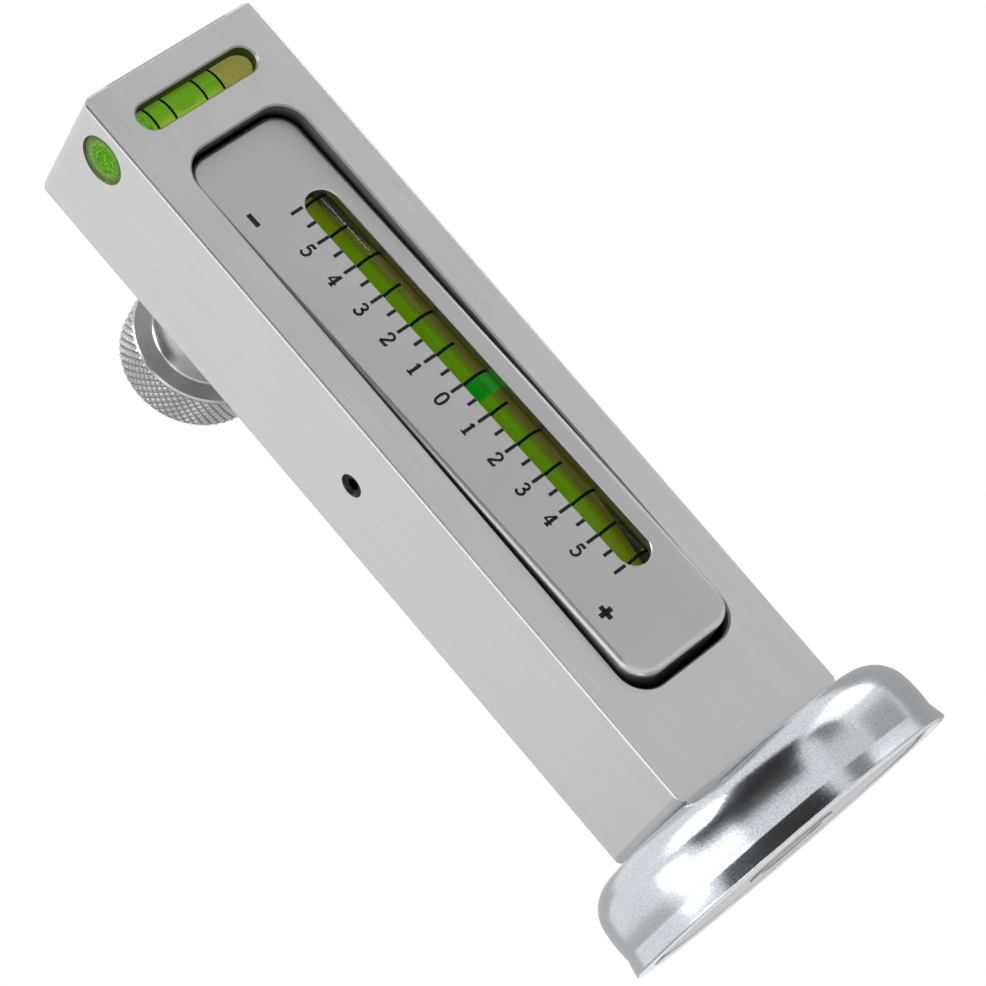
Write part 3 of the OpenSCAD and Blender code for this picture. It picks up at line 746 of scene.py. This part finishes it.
strokes = stroke_row()
for name, count, length in (("degree_strokes", 13, 2.4), ("half_degree_strokes", 12, 1.72)):
    mesh = strokes.made(name, PRINT_BLACK, Count=count, Step=DEGREE_STEP * MM, Length=length * MM,
                        Width=STROKE_WIDTH * MM, Thickness=PRINT_THICK * MM)
    piece(name, mesh, ON_ROCKER @ Matrix.Translation(
        (WINDOW_LEFT * MM, (PLATE_FRONT - PRINT_THICK / 2) * MM, SCALE_MIDDLE * MM)), "rocker")
piece("scale_numbers", scale_numbers(), ON_ROCKER, "rocker")


# ---- the vials ----

RING_THICK = 0.02
RING_LIFT = 0.01
CAMBER_RINGS_MIDDLE = 0.2
CROSS_VIAL_L = CROSS_RIGHT - CROSS_LEFT
END_DISC_R = 3.95
END_DISC_FROM = CROSS_LEFT + 0.25
END_DISC_TO = CROSS_LEFT + 1.0

piece("camber_vial_rod", turned("camber_vial_rod", rod_outline(VIAL_D / 2, VIAL_L, 0.3), ACRYLIC),
      IN_ROCKER_HOLE, "rocker", ("camber_vial", "camber_vial_plugs"))
piece("cross_vial_rod", turned("cross_vial_rod", rod_outline(CROSS_VIAL_D / 2, CROSS_VIAL_L, 0.25), ACRYLIC),
      IN_CROSS_BORE, "frame", ("cross_vial",))
disc_outline = [(0.0, END_DISC_FROM), (END_DISC_R, END_DISC_FROM), (END_DISC_R, END_DISC_TO), (0.0, END_DISC_TO)]
piece("cross_vial_end", turned("cross_vial_end", disc_outline, VIAL_ENDS, 64),
      Matrix.Translation((0.0, CROSS_Y * MM, CROSS_Z * MM)) @ Matrix.Rotation(math.pi / 2, 4, "Y"),
      "frame")

rings = ring_row()
for name, count, sweep in (("even_degree_rings", 7, 0.40), ("odd_degree_rings", 6, 0.30)):
    mesh = rings.made(name, RING_BLACK, Count=count, Step=2 * DEGREE_STEP * MM,
                      Radius=(VIAL_D / 2 + RING_LIFT) * MM, Width=0.50 * MM, Thickness=RING_THICK * MM,
                      From=-0.25, Sweep=sweep)
    piece(name, mesh, IN_ROCKER_HOLE @ Matrix.Translation((0, 0, CAMBER_RINGS_MIDDLE * MM)), "rocker")
for name, step in (("inner_cross_rings", 6.4), ("outer_cross_rings", 13.6)):
    mesh = rings.made(name, RING_BLACK, Count=2, Step=step * MM,
                      Radius=(CROSS_VIAL_D / 2 + RING_LIFT) * MM, Width=0.42 * MM, Thickness=RING_THICK * MM,
                      From=0.0, Sweep=1.0)
    piece(name, mesh, IN_CROSS_BORE, "frame")


# ---- the thumb screw ----

KNOB_HUB_R = 9.0
KNOB_HUB_L = 10.0
KNOB_RIM_R = 12.4
KNOB_LAND_R = KNOB_RIM_R - 0.12
KNOB_L = 19.0
KNURL_DEPTH = 0.34
KNURL_FOOT_R = KNOB_RIM_R - KNURL_DEPTH
KNURL_COUNT = 54
KNURL_PITCH = 1.9
KNURL_L = 7.8
KNURL_MIDDLE = 14.5
KNURL_FLAT = 1.7
THREAD_PITCH = 1.0
THREAD_FOOT_R = 2.42
THREAD_DEPTH = 0.56
# Whole grooves added to a phase, so that it stays above 0
WHOLE_GROOVES = 64.0


def diamond_knurl(x, y):
    """Flat-topped diamonds between two sets of grooves that climb the rim both ways."""
    along = y / (KNURL_PITCH * MM)
    leaning_left = groove(x * KNURL_COUNT + (along + WHOLE_GROOVES))
    leaning_right = groove(x * KNURL_COUNT - along + WHOLE_GROOVES)
    return (leaning_left.least(leaning_right) * KNURL_FLAT).least(1.0)


def thread_ridge(x, y):
    return groove(y / (THREAD_PITCH * MM) - x + WHOLE_GROOVES)


knob_outline = ([(0.0, 0.0), (KNOB_HUB_R - 0.6, 0.0)] + arc((KNOB_HUB_R - 0.6, 0.6), 0.6, -90, 0, 5)
                + arc((KNOB_HUB_R + 0.45, KNOB_HUB_L - 0.45), 0.45, 180, 90, 5)
                + [(KNOB_RIM_R - 0.36, KNOB_HUB_L), (KNOB_LAND_R, 10.22), (KNOB_LAND_R, 10.5), (KNURL_FOOT_R, 10.7),
                   (KNURL_FOOT_R, 18.45), (KNOB_RIM_R - 0.85, KNOB_L), (6.0, KNOB_L), (5.6, 18.7), (0.0, 18.7)])
piece("knob_body", turned("knob_body", knob_outline, KNOB_TURNED, 192), ON_SCREW, "thumb_screw",
      ("adjuster_knob",))
knurl_mesh = rolled_relief("knurl", diamond_knurl, False).made(
    "knob_knurl", KNOB_KNURLED, Length=KNURL_L * MM, Around=KNURL_COUNT * 10 + 1, Up=65,
    Radius=(KNURL_FOOT_R - 0.01) * MM, Depth=KNURL_DEPTH * MM)
piece("knob_knurl", knurl_mesh, ON_SCREW @ Matrix.Translation((0, 0, KNURL_MIDDLE * MM)), "thumb_screw")

thread_mesh = rolled_relief("thread", thread_ridge, True).made(
    "screw_thread", BRIGHT_STEEL, Length=24.0 * MM, Around=49, Up=193, Radius=THREAD_FOOT_R * MM,
    Depth=THREAD_DEPTH * MM)
piece("screw_thread", thread_mesh, ON_SCREW @ Matrix.Translation((0, 0, -1.9 * MM)), "thumb_screw")
screw_outline = [(0.0, -14.7), (2.2, -14.7), (2.46, -14.4), (2.46, 13.2), (2.3, 13.4), (0.0, 13.4)]
piece("screw_core", turned("screw_core", screw_outline, BRIGHT_STEEL, 64), ON_SCREW, "thumb_screw",
      ("adjuster_screw",))


# ---- the return spring ----

SPRING_WIRE = 0.8
SPRING_COIL_R = 3.1
SPRING_TURNS = 7.0

spring_low, spring_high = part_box("return_spring")
spring_z = (spring_low.z + spring_high.z) / 2
spring_mesh = wound_wire().made(
    "spring_wire", BRIGHT_STEEL, Turns=SPRING_TURNS, Height=spring_high.y - spring_low.y - SPRING_WIRE * MM,
    Radius=SPRING_COIL_R * MM, Wire=SPRING_WIRE * MM)
spring_axis = (Matrix.Translation((0.0, spring_low.y + SPRING_WIRE / 2 * MM, spring_z))
               @ Matrix.Rotation(-math.pi / 2, 4, "X"))
spring = piece("spring_wire", spring_mesh, spring_axis, "frame", ("return_spring",))
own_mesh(spring)


# ---- the magnet's cup ----

CUP_H = 14.0
CUP_HOLE_R = 3.03

# The wall bulges a little between the shoulder's round and the crease over its flared foot
cup_wall = arc((23.05, 7.7), 6.3, 90, 8, 20) + arc((5.52, 5.24), 24.0, 7, -5.0, 8)
cup_foot = [(29.44, 2.85), (29.93, 0.7)] + arc((29.65, 0.35), 0.35, 20, -90, 4)
cup_inside = [(27.0, 0.0), (26.71, 0.3), (26.71, 8.02)] + arc((23.51, 8.02), 3.19, 0, 90, 8)
cup_outline = [(CUP_HOLE_R, CUP_H)] + cup_wall + cup_foot + cup_inside + [(CUP_HOLE_R, 11.21)]
piece("cup_shell", turned("cup_shell", cup_outline, ZINC, 256, closed=True, sharp_angle=50.0), Matrix.Identity(4),
      "frame", ("magnet_cup",))


# ---- stage, light and camera ----


def studio_world():
    world = bpy.data.worlds.new("studio")
    bpy.context.scene.world = world
    shader = Shader(world)
    path = shader.node("ShaderNodeLightPath", {})
    seen = [Socket(shader, path.outputs[name]) for name in ("Is Camera Ray", "Is Glossy Ray", "Is Transmission Ray")]
    white = shader.add("ShaderNodeBackground", {}, (1.0, 1.0, 1.0, 1.0), 1.0)
    soft = shader.add("ShaderNodeBackground", {}, (1.0, 1.0, 1.0, 1.0), 0.6)
    shader.finish(shader.add("ShaderNodeMixShader", {}, seen[0].most(seen[1]).most(seen[2]), soft, white))


def flat_sheet(name, place, target, width, height, material):
    """Rectangle that faces the target."""
    mesh = bpy.data.meshes.new(name)
    x, y = width / 2, height / 2
    mesh.from_pydata([(-x, -y, 0), (x, -y, 0), (x, y, 0), (-x, y, 0)], [], [(0, 1, 2, 3)])
    mesh.materials.append(material)
    away = (Vector(target) - Vector(place)).normalized()
    mesh.transform(Matrix.Translation(place) @ away.to_track_quat("Z", "Y").to_matrix().to_4x4())
    obj = bpy.data.objects.new(name, mesh)
    bpy.context.collection.objects.link(obj)
    return obj


def floor():
    """White floor that shows the shadow from above, and nothing from below."""
    shader = new_material("floor_white")
    card = shader.principled(Base_Color=(0.9, 0.9, 0.9, 1.0), Roughness=0.9)
    clear = shader.add("ShaderNodeBsdfTransparent", {})
    back = Socket(shader, shader.node("ShaderNodeNewGeometry", {}).outputs["Backfacing"])
    material = shader.finish(shader.add("ShaderNodeMixShader", {}, back, card, clear))
    obj = flat_sheet("floor", (0, 0, -0.0002), (0, 0, 1), 6.0, 6.0, material)
    obj.visible_glossy = False
    obj.visible_diffuse = False
    obj.visible_transmission = False
    obj.visible_shadow = False


def glossy_card(name, place, target, width, height, level):
    """Card that only shows as a reflection in the metal."""
    shader = new_material(name)
    material = shader.finish(shader.add("ShaderNodeEmission", {}, (level, level, level, 1.0), 1.0))
    obj = flat_sheet(name, place, target, width, height, material)
    obj.visible_camera = False
    obj.visible_diffuse = False
    obj.visible_transmission = False
    obj.visible_shadow = False


def softbox(name, place, target, width, height, watts):
    data = bpy.data.lights.new(name, "AREA")
    data.shape = "RECTANGLE"
    data.size = width
    data.size_y = height
    data.energy = watts
    obj = bpy.data.objects.new(name, data)
    bpy.context.collection.objects.link(obj)
    away = (Vector(place) - Vector(target)).normalized()
    obj.matrix_world = Matrix.Translation(place) @ away.to_track_quat("Z", "Y").to_matrix().to_4x4()


def camera():
    """The photograph's view: from the lower left, rolled so that the bar lies across the frame."""
    place = Vector((-0.353158, -0.553648, -0.021528))
    heading = math.radians(32.5848)
    climb = math.radians(7.9018)
    roll = math.radians(-40.6103)
    ahead = Vector((math.sin(heading) * math.cos(climb), math.cos(heading) * math.cos(climb), math.sin(climb)))
    level_right = ahead.cross(Vector((0, 0, 1))).normalized()
    level_up = level_right.cross(ahead)
    right = math.cos(roll) * level_right + math.sin(roll) * level_up
    up = right.cross(ahead)
    data = bpy.data.cameras.new("camera")
    data.sensor_fit = "HORIZONTAL"
    data.sensor_width = 36.0
    data.lens = 160.556
    data.clip_start = 0.01
    data.clip_end = 20.0
    obj = bpy.data.objects.new("camera", data)
    bpy.context.collection.objects.link(obj)
    obj.matrix_world = Matrix.Translation(place) @ Matrix((right, up, -ahead)).transposed().to_4x4()
    bpy.context.scene.camera = obj


def around(azimuth, elevation, distance):
    """Place at an azimuth counted from the camera's side towards +X, as seen from the gauge."""
    turn = math.radians(-90 - CAMERA_SIDE + azimuth)
    flat = distance * math.cos(math.radians(elevation))
    return (flat * math.cos(turn), flat * math.sin(turn), 0.05 + distance * math.sin(math.radians(elevation)))


MIDDLE = (0.0, 0.0, 0.07)
CAMERA_SIDE = 32.6
# Name, azimuth, elevation and distance, then width and height, and how bright it is
CARDS = [
    ("card_camera_high", (-2, 36, 1.5), (2.5, 1.75), 0.03),
    ("card_left_band", (-42, 1, 1.3), (1.3, 0.36), 2.0),
    ("card_left_edge", (-64, 10, 1.25), (0.5, 0.3), 2.6),
    ("card_left_low", (-114, -22, 1.5), (2.2, 1.3), 0.60),
    ("card_front_right_high", (64, 21, 1.4), (0.46, 0.6), 0.24),
    ("card_front_right_low", (64, -3, 1.4), (0.7, 0.6), 0.80),
    ("card_right_low", (100, -2, 1.3), (0.85, 0.42), 0.50),
    ("card_right_band", (98, 33, 1.3), (1.1, 0.7), 1.6),
    ("card_behind_right", (150, 12, 1.5), (1.6, 1.6), 0.45),
    ("card_behind_left", (-155, 10, 1.5), (0.9, 1.0), 0.55),
]

studio_world()
floor()
for name, place, size, level in CARDS:
    glossy_card(name, around(*place), MIDDLE, *size, level)
softbox("key", around(-45, 50, 1.1), MIDDLE, 0.5, 0.5, 9.0)
softbox("fill", around(106, 32, 1.1), MIDDLE, 0.4, 0.4, 3.0)
camera()
bpy.context.scene.view_settings.view_transform = "Standard"
